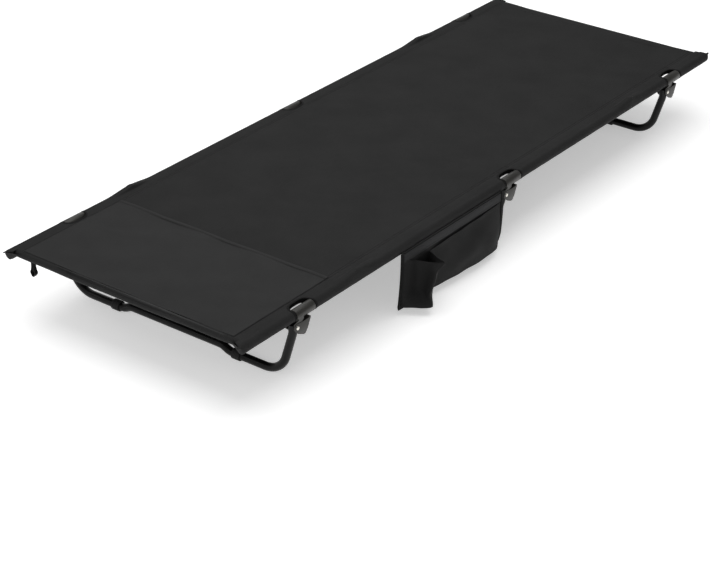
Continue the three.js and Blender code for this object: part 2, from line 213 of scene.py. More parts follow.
# %% Colour and node helpers
def linear(hex_colour):
    parts = [int(hex_colour[i:i + 2], 16) / 255 for i in (1, 3, 5)]
    out = [c / 12.92 if c <= 0.04045 else ((c + 0.055) / 1.055) ** 2.4 for c in parts]
    return (*out, 1.0)


def node(tree, kind, settings=None, **inputs):
    """Adds a node. Inputs are values or (node, output) pairs; _ stands for a space."""
    made = tree.nodes.new(kind)
    for key, value in (settings or {}).items():
        setattr(made, key, value)
    for key, value in inputs.items():
        name = key.replace("_", " ")
        socket = made.inputs[int(name[1:])] if name[0] == "i" and name[1:].isdigit() \
            else made.inputs[name]
        if isinstance(value, tuple) and len(value) == 2 and hasattr(value[0], "outputs"):
            tree.links.new(value[0].outputs[value[1]], socket)
        else:
            socket.default_value = value
    return made


def new_material(name):
    material = bpy.data.materials.new(name)
    material.use_nodes = True
    tree = material.node_tree
    return material, tree, tree.nodes["Principled BSDF"]


def link(tree, source, output, target, socket):
    tree.links.new(source.outputs[output], target.inputs[socket])


# %% [markdown]
# ### Woven polyester
# The deck is oxford cloth: thick polyester yarns in a plain weave, coated on the back.
# Each yarn catches light along its top and is dark where it dives under the next: the
# yarn height drives a bump, and it is also painted into the colour, as a painted highlight
# on the yarn tops and painted shade in the dips. The weave follows the cloth's own
# coordinates, in metres, so it bends round the rails with the cloth. Real yarns are about
# 0.5 mm; they are drawn coarser so that they show. The pillow panel is pongee, a thinner
# and smoother cloth, and tape and strap are ribbed.

# %% Woven cloth material
def woven(name, colour, yarn_mm, depth, roughness, mottle_and_weave_shade, sheen):
    material, tree, shader = new_material(name)
    uv = node(tree, "ShaderNodeUVMap", {"uv_map": "cloth"})
    place = node(tree, "ShaderNodeSeparateXYZ", Vector=(uv, "UV"))
    turns = math.pi / (yarn_mm * MM)
    warp = node(tree, "ShaderNodeMath", {"operation": "MULTIPLY"}, i0=(place, "X"), i1=turns)
    weft = node(tree, "ShaderNodeMath", {"operation": "MULTIPLY"}, i0=(place, "Y"), i1=turns)
    over = node(tree, "ShaderNodeMath", {"operation": "SINE"}, i0=(warp, 0))
    under = node(tree, "ShaderNodeMath", {"operation": "SINE"}, i0=(weft, 0))
    cross = node(tree, "ShaderNodeMath", {"operation": "MULTIPLY"}, i0=(over, 0), i1=(under, 0))
    lift = node(tree, "ShaderNodeMath", {"operation": "MULTIPLY_ADD"},
                i0=(cross, 0), i1=0.5, i2=0.5)
    # slubs: some yarns are a little thicker or paler than others
    slub_place = node(tree, "ShaderNodeMapping", Vector=(uv, "UV"), Scale=(40, 900, 1))
    slub = node(tree, "ShaderNodeTexNoise", Vector=(slub_place, 0), Scale=1.0, Detail=2.0)
    cloud = node(tree, "ShaderNodeTexNoise", Vector=(uv, "UV"), Scale=9.0, Detail=4.0)
    tone = node(tree, "ShaderNodeMath", {"operation": "MULTIPLY_ADD"},
                i0=(cloud, 0), i1=0.6, i2=0.2)
    tone = node(tree, "ShaderNodeMath", {"operation": "MULTIPLY_ADD"},
                i0=(slub, 0), i1=0.55, i2=(tone, 0))
    # painted highlight and shade: the yarn height makes the colour paler on yarn tops and darker
    # in the dips
    tone = node(tree, "ShaderNodeMath", {"operation": "MULTIPLY_ADD"},
                i0=(lift, 0), i1=0.45, i2=(tone, 0))
    base = np.array(linear(colour))
    dark, pale = base * (1 - mottle_and_weave_shade), base * (1 + mottle_and_weave_shade)
    shade = node(tree, "ShaderNodeMapRange", {"clamp": True},
                 Value=(tone, 0), i1=0.45, i2=1.25)
    mix = node(tree, "ShaderNodeMix", {"data_type": "RGBA"}, Factor=(shade, 0))
    mix.inputs[6].default_value = (*dark[:3], 1)
    mix.inputs[7].default_value = (*pale[:3], 1)
    link(tree, mix, 2, shader, "Base Color")
    gloss = node(tree, "ShaderNodeMapRange", Value=(tone, 0), i1=0.2, i2=1.2,
                 i3=roughness + 0.08, i4=roughness - 0.08)
    link(tree, gloss, 0, shader, "Roughness")
    bump = node(tree, "ShaderNodeBump", Height=(lift, 0), Strength=depth, Distance=0.25 * MM)
    coarse = node(tree, "ShaderNodeBump", Height=(cloud, 0), Strength=0.25,
                  Distance=0.8 * MM, Normal=(bump, 0))
    link(tree, coarse, 0, shader, "Normal")
    shader.inputs["Sheen Weight"].default_value = sheen
    shader.inputs["Sheen Roughness"].default_value = 0.45
    shader.inputs["Specular IOR Level"].default_value = 0.14
    return material


OXFORD = woven("oxford_polyester_woven", "#1F1F1F", 1.5, 0.9, 0.8, 0.34, 0.01)
PONGEE = woven("pongee_polyester_smooth", "#202020", 0.9, 0.35, 0.66, 0.2, 0.015)
POUCH = woven("oxford_polyester_pouch", "#1C1C1C", 1.3, 0.8, 0.8, 0.2, 0.01)
BAND = woven("oxford_polyester_band", "#2A2A2B", 1.1, 0.7, 0.75, 0.2, 0.01)
BINDING = woven("grosgrain_polyester_binding", "#0E0E0E", 0.8, 1.0, 0.8, 0.2, 0.01)
WEBBING = woven("webbing_polypropylene", "#101010", 1.8, 1.0, 0.7, 0.25, 0.02)


# %% [markdown]
# ### Painted and plated metal, rubber and thread
# The tubes are powder-coated steel: a smooth black film with a fine orange-peel ripple
# and small scuffs. The rivets are nickel plated. Rings on the floor are moulded rubber,
# matt and faintly dusty. These use object coordinates, because they are solid pieces.

# %% Solid materials
def solid_material(name, colour, roughness, grain_mm, bump_mm, spread=0.2, metallic=0.0,
                   specular=0.5, wear=None):
    material, tree, shader = new_material(name)
    place = node(tree, "ShaderNodeTexCoord")
    grain = node(tree, "ShaderNodeTexNoise", Vector=(place, "Object"),
                 Scale=1 / (grain_mm * MM), Detail=3.0)
    patch = node(tree, "ShaderNodeTexNoise", Vector=(place, "Object"), Scale=35.0, Detail=5.0)
    base = np.array(linear(colour))
    mix = node(tree, "ShaderNodeMix", {"data_type": "RGBA"}, Factor=(patch, 0))
    mix.inputs[6].default_value = (*(base[:3] * (1 - spread)), 1)
    mix.inputs[7].default_value = (*(base[:3] * (1 + spread)), 1)
    top = (mix, 2)
    if wear:
        scuffs = node(tree, "ShaderNodeTexNoise", Vector=(place, "Object"),
                      Scale=260.0, Detail=6.0, Roughness=0.75)
        mask = node(tree, "ShaderNodeMapRange", Value=(scuffs, 0), i1=0.62, i2=0.74)
        worn = node(tree, "ShaderNodeMix", {"data_type": "RGBA"}, Factor=(mask, 0))
        worn.inputs[7].default_value = linear(wear)
        tree.links.new(mix.outputs[2], worn.inputs[6])
        top = (worn, 2)
    link(tree, top[0], top[1], shader, "Base Color")
    gloss = node(tree, "ShaderNodeMapRange", Value=(patch, 0), i1=0.3, i2=0.7,
                 i3=max(0.02, roughness - 0.07), i4=roughness + 0.09)
    link(tree, gloss, 0, shader, "Roughness")
    bump = node(tree, "ShaderNodeBump", Height=(grain, 0), Strength=0.6, Distance=bump_mm * MM)
    link(tree, bump, 0, shader, "Normal")
    shader.inputs["Metallic"].default_value = metallic
    shader.inputs["Specular IOR Level"].default_value = specular
    return material


STEEL_BLACK = solid_material("steel_powder_coated_black", "#090909", 0.3, 2.2, 0.05,
                             specular=0.2, wear="#121211")
STEEL_SADDLE = solid_material("steel_pressed_satin_grey", "#2A2926", 0.38, 1.6, 0.05,
                              metallic=0.3, wear="#3A3835")
NICKEL = solid_material("nickel_plated_rivet", "#D9D6CE", 0.2, 1.0, 0.02, 0.06, 1.0)
STEEL_BARE = solid_material("steel_zinc_plated_pin", "#A5A39D", 0.34, 1.0, 0.03, 0.1, 1.0)
RUBBER = solid_material("rubber_moulded", "#0C0C0C", 0.8, 0.8, 0.12, 0.3, wear="#151514")
PLASTIC = solid_material("polypropylene_moulded", "#0F0F0F", 0.5, 0.7, 0.06, 0.15)
THREAD = solid_material("polyester_thread", "#141414", 0.7, 0.4, 0.05, 0.2)

# %% [markdown]
# ## Legs
# Each leg is one steel tube bent into a U. Its ends stand upright where the rivet goes
# through, then the sides lean in, turn through a wide corner and run along the floor.
# The middle of the bar is raised, so only the ring-shaped feet touch the ground. The
# tube is swept again here with many more sides than the frame's.

# %% Bent leg tubes
LEG_R = 9.5 * MM
FOOT_Z = middle("foot_ring_head_near").z
LEAN = math.radians(17)
BEND_R, CORNER_R = 30 * MM, 60 * MM
BAR_BEND = (154 * MM, 132 * MM)        # across, where the bar starts and ends its rise
BAR_RISE = 10 * MM
TUBE_WALL = 1.2 * MM


def rounded(corners, spacing=3 * MM):
    """Points along a line whose corners (y, z, radius) are rounded, spaced evenly."""
    points = []
    at = [np.array(c[:2]) for c in corners]
    for i, corner in enumerate(corners):
        if i in (0, len(corners) - 1):
            points.append(at[i])
            continue
        into = (at[i] - at[i - 1]) / np.linalg.norm(at[i] - at[i - 1])
        out = (at[i + 1] - at[i]) / np.linalg.norm(at[i + 1] - at[i])
        turn = math.acos(float(np.clip(into @ out, -1, 1)))
        radius = corner[2]
        start = at[i] - into * radius * math.tan(turn / 2)
        side = out - into * (into @ out)
        side /= np.linalg.norm(side)
        steps = max(3, int(turn * radius / spacing) + 1)
        for t in np.linspace(0, turn, steps):
            points.append(start + into * radius * math.sin(t) + side * radius * (1 - math.cos(t)))
    return np.array(points)


def leg_tube(name, pivot):
    bend_z = pivot.z - 16 * MM
    corner = HALF_Y - (bend_z - FOOT_Z) * math.tan(LEAN)
    half = [(HALF_Y, pivot.z + 5 * MM, 0), (HALF_Y, bend_z, BEND_R),
            (corner, FOOT_Z, CORNER_R), (BAR_BEND[0], FOOT_Z, BEND_R),
            (BAR_BEND[1], FOOT_Z + BAR_RISE, BEND_R)]
    other = [(-y, z, r) for y, z, r in reversed(half)]
    line = rounded(half + other)
    path = [(pivot.x, MID_Y + y, z) for y, z in line]
    outer = sweep(f"leg_{name}_tube", path, ring(LEG_R, 32), STEEL_BLACK, caps=False)
    inner = sweep(f"leg_{name}_bore", path, ring(LEG_R - TUBE_WALL, 32), STEEL_BLACK, caps=False)
    bm = bmesh.new()
    bm.from_mesh(outer.data)
    bm.from_mesh(inner.data)
    rims = [e for e in bm.edges if e.is_boundary]
    bmesh.ops.bridge_loops(bm, edges=[e for e in rims if sum(v.co.y for v in e.verts) > 2 * MID_Y])
    rims = [e for e in bm.edges if e.is_boundary]
    bmesh.ops.bridge_loops(bm, edges=rims)
    bmesh.ops.recalc_face_normals(bm, faces=bm.faces)
    bm.to_mesh(outer.data)
    bm.free()
    bpy.data.objects.remove(inner)
    outer.data.shade_smooth()
    outer.data.set_sharp_from_angle(angle=math.radians(50))
    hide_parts(f"leg_tube_{name}")
    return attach(outer, f"{name}_leg")


for name, pivot in LEGS.items():
    leg_tube(name, pivot)
print("legs at x", [round(p.x, 3) for p in LEGS.values()])

# %% [markdown]
# ### Feet
# A rubber ring is pushed over the bar at each foot. It is turned from a rounded profile
# with two shallow grooves, and it is pressed flat where it meets the floor.

# %% Rubber rings
def foot_ring(name, side):
    at = middle(f"foot_ring_{name}_{side}")
    half, out = 11, 12.5
    profile = [(9.7, -half), (11.4, -half), (12.2, -half + 0.5), (out, -half + 1.4), (out, -4.2),
               (12.0, -3.8), (12.0, -3.2), (out, -2.8), (out, 2.8), (12.0, 3.2), (12.0, 3.8),
               (out, 4.2), (out, half - 1.4), (12.2, half - 0.5), (11.4, half), (9.7, half)]
    ring_piece = turned(f"foot_{name}_{side}", profile, at, "y", RUBBER, 48)
    for v in ring_piece.data.vertices:
        v.co.z = max(v.co.z, 0.0)
    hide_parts(f"foot_ring_{name}_{side}")
    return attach(ring_piece, f"{name}_leg")


for name in LEGS:
    for side in SIDES:
        foot_ring(name, side)

# %% [markdown]
# ### Rivets
# A domed rivet goes through the saddle's ears, the stop and the leg. It is plated and
# polished, so its two domes are the brightest spots on the cot.

# %% Domed rivets
def rivet(name, side):
    at = middle(f"leg_rivet_{name}_{side}")
    dome = [(0.01, 15.8)] + [(4.6 * math.sin(t), 13.8 + 2.0 * math.cos(t))
                             for t in np.linspace(0.25, math.pi / 2, 7)]
    half = dome + [(4.6, 13.5), (3.0, 13.45)]
    profile = half + [(r, -a) for r, a in reversed(half)]
    made = turned(f"rivet_{name}_{side}", profile, at, "y", NICKEL, 36)
    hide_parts(f"leg_rivet_{name}_{side}")
    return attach(made, FRAME_OF[name])


for name in LEGS:
    for side in SIDES:
        rivet(name, side)

# %% [markdown]
# ## The rest of the metal
# The rails, saddles, end bars and fold pins already have the right shape. Each gets its
# material, and all but the rails get a small bevel modifier that rounds the cut edges so
# that they catch light.

# %% Materials on the frame's own nodes
FINISH = {"rail_": STEEL_BLACK, "saddle_": STEEL_SADDLE,
          "end_bar_": STEEL_BLACK, "fold_pin_": STEEL_BARE}
for name, obj in frame["nodes"].items():
    for start, material in FINISH.items():
        if name.startswith(start):
            obj.data.materials.clear()
            obj.data.materials.append(material)
            weld = obj.modifiers.new("weld", "WELD")
            weld.merge_threshold = 0.00002
            if not name.startswith("rail_"):
                bevel = obj.modifiers.new("bevel", "BEVEL")
                bevel.width = 0.35 * MM
                bevel.segments = 2
                bevel.limit_method = "ANGLE"
                bevel.angle_limit = math.radians(40)
            obj.data.shade_smooth()
            obj.data.set_sharp_from_angle(angle=math.radians(32))

# %% [markdown]
# ### Leg stops
# A pressed steel shoe is held by the rivet, outside the saddle's ears. Two side plates
# are joined by a web along their slanted edge, and the tip comes up against the saddle
# when the leg is open. It is cut from a drawing of the plate in millimetres.

# %% Stop shoes
def prism(outline, low_y, high_y, at):
    """A plate with a given outline (x, z) in mm, between two y, as verts and faces."""
    n = len(outline)
    verts = [(at.x + u * MM, y, at.z + v * MM) for y in (low_y, high_y) for u, v in outline]
    faces = [tuple(range(n)), tuple(range(2 * n - 1, n - 1, -1))]
    faces += [(k, (k + 1) % n, n + (k + 1) % n, n + k) for k in range(n)]
    return verts, faces


def leg_stop(name, side):
    pivot = LEGS[name]
    y = middle(f"leg_stop_{name}_{side}").y
    lobe = [(10 * math.cos(t), 10 * math.sin(t)) for t in np.radians(np.linspace(80, 215, 10))]
    plate = [(12, 8.5), *lobe, (2, -15), (10, -19), (19, -23), (24, -23.5), (28, -21),
             (30.5, -17), (31.5, -15), (43.5, 7), (43.8, 10.5), (40, 10.6), (36, 8.5)]
    web = [(43.7, 10.4), (42.4, 10.4), (30.3, -14.6), (31.5, -15)]
    verts, faces = [], []
    inner, outer = 12.4 * MM, 13.3 * MM
    parts = ((plate, -outer, -inner), (plate, inner, outer), (web, -outer, outer))
    for outline, low, high in parts:
        v, f = prism(outline, y + low, y + high, pivot)
        faces += [tuple(k + len(verts) for k in face) for face in f]
        verts += v
    shoe = piece(f"stop_{name}_{side}", verts, faces, STEEL_SADDLE, smooth=False)
    bevel = shoe.modifiers.new("bevel", "BEVEL")
    bevel.width, bevel.segments, bevel.limit_method = 0.4 * MM, 2, "ANGLE"
    with_modifiers(shoe)
    shoe.data.shade_smooth()
    shoe.data.set_sharp_from_angle(angle=math.radians(35))
    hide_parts(f"leg_stop_{name}_{side}")
    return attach(shoe, f"{name}_leg")


for name in LEGS:
    for side in SIDES:
        leg_stop(name, side)

# %% [markdown]
# ### Rail ends
# A moulded plug closes each rail. Its edge is well rounded, so it does not cut the cloth.

# %% Rail plugs
for name in ("head", "foot"):
    for side in SIDES:
        low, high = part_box(f"end_cap_{name}_{side}")
        out = 1 if name == "foot" else -1
        face = (high.x if out > 0 else low.x)
        at = (face, middle(f"end_cap_{name}_{side}").y, RAIL_Z)
        rounding = [(3.5 + 5.8 * math.sin(t), -out * 1.7 * (1 - math.cos(t)))
                    for t in np.linspace(0, math.pi / 2, 6)]
        profile = [(0.01, 0.0), *rounding, (9.3, -out * 9.4), (0.01, -out * 9.4)]
        plug = turned(f"rail_plug_{name}_{side}", profile, at, "x", PLASTIC, 32)
        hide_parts(f"end_cap_{name}_{side}")
        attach(plug, FRAME_OF[name])

# %% [markdown]
# ## The deck cloth
# The deck is one sheet. Its long edges go round the rails and come back underneath,
# where they are sewn down to make two sleeves, and its ends are hemmed round the end
# bars. `sheet_point` describes the sheet across the bed: a distance `s` from the middle
# line gives a point. The sheet is made in two pieces that meet near the middle.

# %% The shape of the sheet
WRAP_R = 11.85 * MM            # middle of the cloth round a rail
TOP_Z = RAIL_Z + WRAP_R
FLAT = HALF_Y                  # from the middle line to the rail's top
OUT_S = FLAT + WRAP_R * math.pi / 2        # the outermost line of the sleeve
UNDER_S = FLAT + WRAP_R * math.pi
SEAM_Y = HALF_Y + WRAP_R - 39 * MM         # the sleeve's seam, 39 mm in from the edge
UNDER_LEN = HALF_Y - SEAM_Y
CUT_SHIFT = 31 * MM                        # from the rivet to the middle of each cut-out
SEAM_S = UNDER_S + math.hypot(UNDER_LEN, 2 * WRAP_R)


def smoothstep(low, high, v):
    t = np.clip((v - low) / (high - low), 0, 1)
    return t * t * (3 - 2 * t)


def waves(x, y):
    """Slack in the cloth: a slight dip between rails, and pulls at the saddles, in m."""
    across = 1 - (np.abs(y) / HALF_Y) ** 2
    dip = -2.6 * MM * np.clip(across, 0, 1)
    pull = 0
    for leg in LEGS.values():
        d = np.abs(x - leg.x - CUT_SHIFT)
        near = np.exp(-(d / 0.13) ** 2) * smoothstep(0.25, 0.75, np.abs(y) / HALF_Y)
        pull = pull + near * np.cos(d * 75 + np.abs(y) * 38) * 0.45 * MM
    ripple = 0.35 * MM * np.sin(x * 23 + np.sin(y * 9) * 2.2) * np.sin(y * 17 + x * 5 + 1)
    long_ripple = 0.5 * MM * np.sin(y * 31 + np.sin(x * 4) * 1.5)
    edge = np.clip(across * 3, 0, 1)
    return dip + pull * np.clip(across * 2, 0, 1) + (ripple + long_ripple) * edge


def groove(x, y):
    """The cloth is drawn down a little along the two rows of sleeve stitching."""
    a = np.abs(y) - SEAM_Y
    rows = np.exp(-(a / 0.0016) ** 2) + np.exp(-((a + 0.006) / 0.0016) ** 2)
    puff = np.exp(-((a - 0.012) / 0.009) ** 2)
    gather = 0.5 + 0.5 * np.sin(x * 2 * math.pi / 0.021 + 1.3 * np.sin(x * 40))
    return (-0.75 * rows + 0.55 * puff * (0.6 + 0.4 * gather)) * MM


def lug_bump(x, y):
    """The fold lugs push the sleeve up a little."""
    d = np.minimum(np.abs(x - FOLD_X + 0.006), np.abs(x + FOLD_X - 0.006))
    off = np.abs(np.abs(y) - HALF_Y)
    along = np.maximum(1 - smoothstep(0.004, 0.016, d), 0.8 * (1 - smoothstep(0.004, 0.075, d)))
    return 7.1 * MM * along * (1 - smoothstep(0.0068, 0.0118, off))


def sheet_point(x, s, side):
    """The point of the sheet at distance s from the middle line, on one side."""
    x, s = np.broadcast_arrays(np.asarray(x, float), np.asarray(s, float))
    y = np.minimum(s, FLAT)
    z = np.full(x.shape, TOP_Z)
    turn = np.clip((s - FLAT) / WRAP_R, 0, math.pi)
    y = y + WRAP_R * np.sin(turn)
    z = z - WRAP_R * (1 - np.cos(turn))
    back = np.clip((s - UNDER_S) / (SEAM_S - UNDER_S), 0, 1)
    y = y - back * UNDER_LEN
    z = z + back * (2 * WRAP_R - 1.4 * MM)
    top = s <= FLAT
    z = z + np.where(top, waves(x, y) + groove(x, y), 0)
    z = z + back * (waves(x, y) + groove(x, y))
    z = z + np.where(s < OUT_S, lug_bump(x, y), 0)
    # soft creases in the sleeve between the fixings
    crease = np.sin(x * 2 * math.pi / 0.057 + 2 * np.sin(x * 9)) * np.sin(turn) ** 2
    y = y + 0.25 * MM * crease
    return np.stack([x, MID_Y + side * y, z], -1)


# %% [markdown]
# ### Cut-outs over the saddles
# Where a leg is fixed the sleeve is cut away in a half-oval, and the raw edge is bound
# with tape. The columns of the grid follow the oval's curve, so the cut edge is clean.

# %% Grid of the sheet
CUT_HALF = 33 * MM
CUT_DEEP = OUT_S - (HALF_Y - 20 * MM)
CUT_POWER = 3.4
UNDER_CUT = (SEAM_S - OUT_S - 10 * MM) / CUT_DEEP    # underneath it nearly reaches the seam


def cut_curve(turn):
    """One quarter-turn style oval with steep ends: offset along x, depth from the edge."""
    c, s = np.cos(turn), np.sin(turn)
    along = CUT_HALF * np.sign(c) * np.abs(c) ** (2 / CUT_POWER)
    deep = CUT_DEEP * np.abs(s) ** (2 / CUT_POWER)
    return along, deep


def columns(x0, x1, step=7 * MM):
    """x of each column, and how deep the sheet is cut there."""
    xs, depths, left_rim = [x0], [0.0], x0
    cuts = [leg.x + CUT_SHIFT for leg in LEGS.values() if x0 < leg.x < x1]
    for cut in sorted(cuts):
        count = max(2, int((cut - CUT_HALF - left_rim) / step))
        plain = np.linspace(left_rim, cut - CUT_HALF, count)[1:]
        xs += list(plain)
        depths += [0.0] * len(plain)
        along, deep = cut_curve(np.linspace(math.pi, 0, 33))
        xs += [cut + a for a in along[1:]]
        depths += list(deep[1:])
        left_rim = cut + CUT_HALF
    count = max(2, int((x1 - left_rim) / step))
    plain = np.linspace(left_rim, x1, count)[1:]
    xs += list(plain)
    depths += [0.0] * len(plain)
    return np.array(xs), np.array(depths)


def spread_rows(stops):
    """Row places from 0 to the edge, closer together where the shape needs it."""
    rows = []
    for (a, b, n) in stops:
        rows += list(np.linspace(a, b, n, endpoint=False))
    return np.array(rows + [stops[-1][1]])


def sheet_half(x0, x1, side):
    """One half of the width: the top out to the cut, and the underside strip."""
    xs, cut = columns(x0, x1)
    rows = spread_rows([(0, 0.6, 26), (0.6, SEAM_Y / OUT_S - 0.03, 12),
                        (SEAM_Y / OUT_S - 0.03, SEAM_Y / OUT_S + 0.01, 16),
                        (SEAM_Y / OUT_S + 0.01, 1, 20)])
    s_top = rows[None, :] * OUT_S
    limit = (OUT_S - cut)[:, None]
    inner = SEAM_Y - 0.03
    squeezed = inner + (s_top - inner) * (limit - inner) / (OUT_S - inner)
    s = np.where(s_top > inner, squeezed, s_top)
    under_rows = np.linspace(0, 1, 20)
    start = (OUT_S + cut * UNDER_CUT)[:, None]
    s_under = start + under_rows[None, :] * (SEAM_S - start)
    x_top = np.repeat(xs[:, None], s.shape[1], 1)
    x_under = np.repeat(xs[:, None], s_under.shape[1], 1)
    return [(sheet_point(x_top, s, side), x_top, s * side),
            (sheet_point(x_under, s_under, side), x_under, s_under * side)]


print("cloth across", round(2 * SEAM_S, 3), "m")

# %% [markdown]
# ### Hems
# At each end the sheet turns down round the end bar and comes back underneath. It does
# this only between the sleeves. The sleeves run on a little past the rail's plug and are
# sewn shut, like the toe of a sock, so each corner of the bed ends in a small soft tip.

# %% Hem strips
HEM_R = 7.9 * MM
HEM_Y = HALF_Y - 12.5 * MM
HEM_BACK = 26 * MM


def hem_strip(end):
    """From the top of the end bar round it and back underneath."""
    reach = math.pi * HEM_R
    s = np.concatenate([np.linspace(0, reach, 15), np.linspace(reach, reach + HEM_BACK, 7)[1:]])
    y = np.linspace(-HEM_Y, HEM_Y, 120)
    yy, ss = np.meshgrid(y, s)
    turn = np.clip(ss / HEM_R, 0, math.pi)
    back = np.clip((ss - reach) / HEM_BACK, 0, 1)
    x = END_X + HEM_R * np.sin(turn) - back * HEM_BACK
    z_top = TOP_Z + waves(np.full_like(yy, end * END_X), yy)
    z = z_top - HEM_R * (1 - np.cos(turn)) + back * (2 * HEM_R - 1.3 * MM)
    pucker = 0.22 * MM * np.sin(yy * 2 * math.pi / 0.016 + np.sin(yy * 30)) * np.sin(turn)
    points = np.stack([end * (x + pucker), MID_Y + yy, z], -1)
    return points, end * (END_X + ss), yy


def sleeve_end(end, side):
    """The sleeve past the bar. Beyond the rail it closes to a tip."""
    s = np.concatenate([np.linspace(HEM_Y + 0.5 * MM, OUT_S, 16),
                        np.linspace(OUT_S, SEAM_S, 20)[1:]])
    tongue = 27 * MM - 7 * MM * smoothstep(FLAT, UNDER_S, s)
    past = np.linspace(0, 1, 14)[:, None] * tongue[None, :]
    x = end * (END_X + past)
    ss = np.repeat(s[None, :], len(past), 0)
    points = sheet_point(x, ss, side)
    close = smoothstep(12.5 * MM, 21 * MM, past)
    tip = np.array([0, MID_Y + side * (HALF_Y + 6 * MM), RAIL_Z + 9 * MM])
    for k, share in ((1, 0.8), (2, 0.93)):
        points[:, :, k] += (tip[k] - points[:, :, k]) * close * share
    return points, x, ss * side


def grid_mesh(name, grids, material):
    """Joins grids of (points, u, v) into one mesh, with cloth coordinates in metres."""
    verts, faces, uvs = [], [], []
    for points, u, v in grids:
        n, m = points.shape[:2]
        faces += grid_faces(n, m, offset=len(verts))
        verts += [tuple(p) for p in points.reshape(-1, 3)]
        uvs += list(zip(np.asarray(u).ravel(), np.asarray(v).ravel()))
    mesh = bpy.data.meshes.new(name)
    mesh.from_pydata(verts, [], faces)
    layer = mesh.uv_layers.new(name="cloth")
    index = np.zeros(len(mesh.loops), int)
    mesh.loops.foreach_get("vertex_index", index)
    layer.data.foreach_set("uv", np.array(uvs)[index].astype(np.float32).ravel())
    obj = bpy.data.objects.new(name, mesh)
    bpy.context.scene.collection.objects.link(obj)
    mesh.materials.append(material)
    bm = bmesh.new()
    bm.from_mesh(mesh)
    bmesh.ops.remove_doubles(bm, verts=bm.verts, dist=3e-5)
    bmesh.ops.dissolve_degenerate(bm, edges=bm.edges, dist=1e-6)
    bmesh.ops.recalc_face_normals(bm, faces=bm.faces)
    up = sum(f.normal.z * f.calc_area() for f in bm.faces
             if f.calc_center_median().z > TOP_Z - 4 * MM)
    if up < 0:
        bmesh.ops.reverse_faces(bm, faces=bm.faces)
    bm.to_mesh(mesh)
    bm.free()
    return obj


def thicken(obj, thickness):
    solid = obj.modifiers.new("thickness", "SOLIDIFY")
    solid.thickness = thickness
    solid.offset = 0
    solid.use_even_offset = False
    with_modifiers(obj)
    obj.data.shade_smooth()
    obj.data.set_sharp_from_angle(angle=math.radians(40))
    return obj


CLOTH = 0.7 * MM
MEET_X = -0.11


def deck(name, x0, x1, end, nodes):
    grids = [g for side in (-1, 1) for g in sheet_half(x0, x1, side)]
    grids.append(hem_strip(end))
    grids += [sleeve_end(end, side) for side in (-1, 1)]
    obj = thicken(grid_mesh(name, grids, OXFORD), CLOTH)
    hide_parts(*nodes)
    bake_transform(obj)
    print(name, "faces", len(obj.data.polygons))
    return obj


BEND = 16 * MM
deck("deck_head", -END_X, MEET_X, -1,
     ["deck_cloth_head", "deck_cloth_middle"])
deck("deck_foot", MEET_X, END_X, 1,
     ["deck_cloth_foot"])

# %% [markdown]
# ### Bound edges
# A strip of narrow tape is folded over the raw edge of each cut-out and sewn through.
# It is swept along the same oval, lying flat on the cloth.

# %% Binding tape round the cut-outs
def cloth_frame(x, s, side):
    """A point on the sheet and the sheet's outward direction there."""
    d = 0.0002
    p = sheet_point(x, s, side)
    dx = sheet_point(x + d, s, side) - p
    ds = sheet_point(x, s + d, side) - p
    n = np.cross(dx, ds) * side
    return p, n / np.linalg.norm(n, axis=-1, keepdims=True)


def strip(name, path, normals, half_width, half_thick, material, closed=False):
    rounded_bar = [(-1, -0.55), (-0.8, -1), (0.8, -1), (1, -0.55),
                   (1, 0.55), (0.8, 1), (-0.8, 1), (-1, 0.55)]
    section = [(half_width * a, half_thick * b) for a, b in rounded_bar]
    obj = sweep(name, path, section, material, up=normals, closed=closed)
    mesh = obj.data
    layer = mesh.uv_layers.new(name="cloth")
    line = np.array(path)
    along = np.concatenate([[0], np.cumsum(np.linalg.norm(np.diff(line, axis=0), axis=1))])
    across = np.array((0.3, 0.6, 0.7))
    for loop in mesh.loops:
        co = np.array(mesh.vertices[loop.vertex_index].co)
        i = int(np.argmin(((line - co) ** 2).sum(1)))
        layer.data[loop.index].uv = (along[i], float((co - line[i]) @ across))
    return obj


def bind_cut(name, side_name):
    side = SIDES[side_name]
    cut = LEGS[name].x + CUT_SHIFT
    turn = np.linspace(0, 2 * math.pi, 121)[:-1]
    along, deep = cut_curve(turn)
    inward = 1.6 * MM
    grow = 1 + inward / CUT_DEEP
    s = np.where(np.sin(turn) >= 0, OUT_S - deep * grow, OUT_S + deep * grow * UNDER_CUT)
    s = np.clip(s, HALF_Y - 0.03, SEAM_S - 0.001)
    x = cut + along * (1 + inward / CUT_HALF)
    points, normals = cloth_frame(x, s, side)
    made = strip(f"binding_{name}_{side_name}", points, normals, 2.6 * MM, 1.0 * MM, BINDING, True)
    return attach(made, FRAME_OF[name])


for name in LEGS:
    for side in SIDES:
        bind_cut(name, side)
